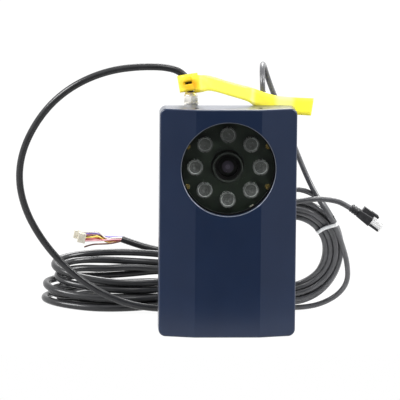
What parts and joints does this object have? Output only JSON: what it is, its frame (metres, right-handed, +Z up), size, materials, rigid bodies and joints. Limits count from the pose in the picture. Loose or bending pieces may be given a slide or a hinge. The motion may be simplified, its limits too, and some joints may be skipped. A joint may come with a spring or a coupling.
{
  "type": "license plate recognition camera",
  "caption": "Upright weatherproof camera: faceted painted housing, round window over a lens inside a ring of infrared lights, with coiled main and network cables from glands at the top.",
  "frame": {"origin": "centre of the housing's footprint, on the surface it stands on", "axes": "the window faces -Y, +X is to the right seen from the front, +Z is up"},
  "size_m": [0.3741, 0.256, 0.2726],
  "materials": {
    "navy_paint": "satin gloss navy paint",
    "black_rubber": "matte",
    "window_glass": "polished",
    "black_metal": "black anodised",
    "steel": "plain",
    "circuit_board": "dark green solder resist",
    "emitter_body": "cast",
    "optic_holder": "translucent grey",
    "optic_plastic": "clear moulded",
    "brass": "turned",
    "pale_component": "moulded",
    "bare_aluminium": "plain",
    "lens_glass": "coated",
    "dark_chip": "moulded",
    "grey_pad": "soft",
    "nickel_plate": "nickel plated brass",
    "main_cable_jacket": "satin grey",
    "network_cable_jacket": "satin grey",
    "wire_insulation": "coloured",
    "yellow_tag": "glossy film",
    "white_tie": "moulded",
    "black_boot": "matte",
    "clear_plug": "clear moulded"
  },
  "bodies": {
    "housing": {"board_headers": "pale_component", "board_spacers": "brass", "board_standoffs": "brass", "cable_tag": "yellow_tag", "camera_plate": "bare_aluminium", "coil_tie": "white_tie", "cover_gasket": "black_rubber", "cover_screws": "steel", "front_cover": "navy_paint", "gland_body_left": "nickel_plate", "gland_body_right": "nickel_plate", "gland_locknut_left": "nickel_plate", "gland_locknut_right": "nickel_plate", "gland_nut_left": "nickel_plate", "gland_nut_right": "nickel_plate", "gland_seal_left": "black_rubber", "gland_seal_right": "black_rubber", "image_sensor": "dark_chip", "lens_barrel": "black_metal", "lens_glass": "lens_glass", "lens_mount": "black_metal", "light_board": "circuit_board", "light_board_screws": "brass", "light_emitters": "emitter_body", "light_optics": "optic_plastic", "light_sensor": "pale_component", "main_board": "circuit_board", "main_cable_coil": "main_cable_jacket", "main_cable_entry": "main_cable_jacket", "main_cable_lead": "main_cable_jacket", "main_cable_tail": "main_cable_jacket", "mount_screws": "steel", "network_cable_coil": "network_cable_jacket", "network_cable_entry": "network_cable_jacket", "network_cable_lead": "network_cable_jacket", "network_cable_loose_turn": "network_cable_jacket", "network_cable_tail": "network_cable_jacket", "optic_holders": "optic_holder", "plug_body": "clear_plug", "plug_boot": "black_boot", "plug_contacts": "brass", "power_board": "circuit_board", "power_board_screws": "steel", "power_capacitors": "bare_aluminium", "power_transformer": "dark_chip", "processor": "dark_chip", "rear_housing": "navy_paint", "retainer_screws": "steel", "sensor_board": "circuit_board", "signal_wires": "wire_insulation", "thermal_pad": "grey_pad", "window_glass": "window_glass", "window_retainer": "black_metal", "window_seal": "black_rubber", "wire_connectors": "pale_component"},
    "focus_ring": {"focus_ring": "black_metal", "focus_lock_screw": "steel"}
  },
  "joints": [
    {"name": "focus_turn", "type": "hinge", "parent": "housing", "child": "focus_ring", "pos_m": [0, 0, 0.172], "axis": [0, 1, 0], "range_deg": [-60, 60]}
  ]
}
